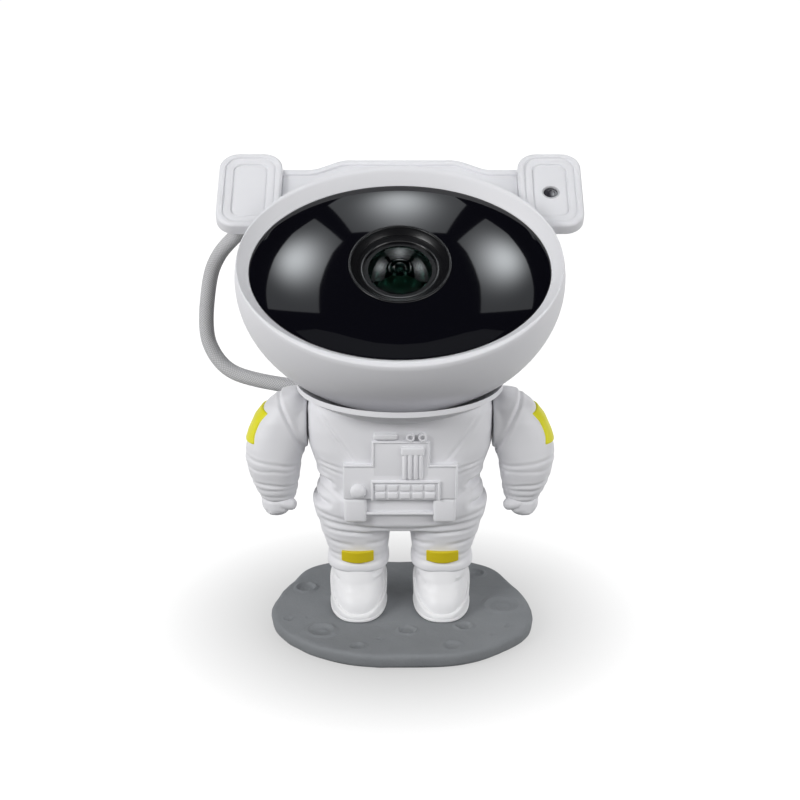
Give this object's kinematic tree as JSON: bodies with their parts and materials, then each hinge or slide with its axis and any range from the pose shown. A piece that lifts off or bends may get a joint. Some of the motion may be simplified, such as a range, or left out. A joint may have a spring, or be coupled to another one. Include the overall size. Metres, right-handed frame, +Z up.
{
  "type": "planetarium projector",
  "caption": "Spaceman-shaped star projector on a moon plate: head with dark visor and lens turns and tilts, arms swing, a hose runs to the backpack with push buttons.",
  "frame": {"origin": "on the flat underside of the base pad, directly below the axis on which the neck turns", "axes": "+Z up, -Y is the side that the chest and the visor face, +X is the side of the ear with the infrared window"},
  "size_m": [0.1617, 0.1125, 0.1868],
  "materials": {
    "shell_white": "satin moulded ABS, off-white",
    "boot_white": "satin moulded ABS, white",
    "sole_white": "satin",
    "moon_grey": "fine matte texture",
    "pad_black": "matte foam rubber",
    "patch_yellow": "satin paint",
    "visor_black": "high gloss, dark tint",
    "bezel_black": "satin black with a turned rim",
    "lens_glass": "polished",
    "braid_grey": "braided sleeve",
    "ferrule_grey": "satin",
    "key_grey": "satin",
    "steel": "nickel plated",
    "board_green": "solder mask",
    "switch_black": "matte",
    "chassis_black": "matte, anti-glare",
    "acetal_white": "satin",
    "sink_aluminium": "black anodised edges",
    "motor_steel": "plated can",
    "laser_brass": "turned",
    "ir_dark": "dark infrared window"
  },
  "bodies": {
    "stand": {"backpack_shell": "shell_white", "base_pad": "pad_black", "base_plate": "moon_grey", "body_screws": "steel", "boot_soles": "sole_white", "chest_panel": "shell_white", "control_board": "board_green", "hose_lower": "braid_grey", "hose_socket": "ferrule_grey", "knee_patches": "patch_yellow", "left_boot": "boot_white", "neck_collar": "shell_white", "right_boot": "boot_white", "tact_switches": "switch_black", "torso_back_shell": "shell_white", "torso_front_shell": "shell_white", "usb_socket": "steel"},
    "neck": {"neck_saddle": "acetal_white", "neck_magnet": "steel", "neck_clip": "steel"},
    "pattern_disc": {"pattern_wheel": "acetal_white"},
    "grating_disc": {"grating_wheel": "acetal_white"},
    "pinion": {"motor_pinion": "acetal_white"},
    "arm_left": {"left_arm": "shell_white", "left_glove": "shell_white", "left_shoulder_patch": "patch_yellow"},
    "arm_right": {"right_arm": "shell_white", "right_glove": "shell_white", "right_shoulder_patch": "patch_yellow"},
    "key_power": {"power_button": "key_grey"},
    "key_star": {"star_button": "key_grey"},
    "key_nebula": {"nebula_button": "key_grey"},
    "head": {"helmet_front_shell": "shell_white", "helmet_rear_shell": "shell_white", "left_ear_shell": "shell_white", "right_ear_shell": "shell_white", "left_ear_cap": "shell_white", "right_ear_cap": "shell_white", "crown_bar": "shell_white", "visor": "visor_black", "lens_bezel": "bezel_black", "front_lens": "lens_glass", "rear_lens": "lens_glass", "condenser_lens": "lens_glass", "hose_upper": "braid_grey", "hose_ferrule": "ferrule_grey", "head_screws": "steel", "keeper_strip": "steel", "driver_board": "board_green", "led_board": "board_green", "ir_receiver": "switch_black", "optical_chassis": "chassis_black", "rear_frame": "chassis_black", "lens_barrel": "chassis_black", "heat_sink": "sink_aluminium", "drive_motor": "motor_steel", "laser_module": "laser_brass", "ir_window": "ir_dark"}
  },
  "joints": [
    {"name": "neck_turn", "type": "hinge", "parent": "stand", "child": "neck", "pos_m": [0, 0, 0.0902], "axis": [0, 0, 1], "range_deg": [-45, 45], "deforming": ["hose_lower"]},
    {"name": "head_tilt", "type": "hinge", "parent": "neck", "child": "head", "pos_m": [0, 0, 0.1475], "axis": [1, 0, 0], "range_deg": [-30, 46], "deforming": ["hose_upper"]},
    {"name": "left_arm_swing", "type": "hinge", "parent": "stand", "child": "arm_left", "pos_m": [-0.0379, 0, 0.088], "axis": [1, 0, 0], "range_deg": [-100, 40]},
    {"name": "right_arm_swing", "type": "hinge", "parent": "stand", "child": "arm_right", "pos_m": [0.0379, 0, 0.088], "axis": [1, 0, 0], "range_deg": [-100, 40]},
    {"name": "pattern_wheel_spin", "type": "hinge", "parent": "head", "child": "pattern_disc", "pos_m": [-0.01, 0.00641, 0.13084], "axis": [0, -0.5592, 0.829], "continuous": true},
    {"name": "grating_wheel_spin", "type": "hinge", "parent": "head", "child": "grating_disc", "pos_m": [0.01729, 0.02484, 0.14326], "axis": [0, -0.5592, 0.829], "continuous": true},
    {"name": "motor_pinion_spin", "type": "hinge", "parent": "head", "child": "pinion", "pos_m": [0.00283, 0.02484, 0.14326], "axis": [0, -0.5592, 0.829], "continuous": true},
    {"name": "power_button_press", "type": "slide", "parent": "stand", "child": "key_power", "axis": [0, -1, 0], "range_m": [0, 0.0008], "stiffness_N_per_m": 600, "springref_m": -0.001},
    {"name": "star_button_press", "type": "slide", "parent": "stand", "child": "key_star", "axis": [0, -1, 0], "range_m": [0, 0.0008], "stiffness_N_per_m": 600, "springref_m": -0.001},
    {"name": "nebula_button_press", "type": "slide", "parent": "stand", "child": "key_nebula", "axis": [0, -1, 0], "range_m": [0, 0.0008], "stiffness_N_per_m": 600, "springref_m": -0.001}
  ],
  "couplings": [
    {"joint": "motor_pinion_spin", "follows": "pattern_wheel_spin", "ratio": -4.3333},
    {"joint": "grating_wheel_spin", "follows": "pattern_wheel_spin", "ratio": 2.1667}
  ]
}
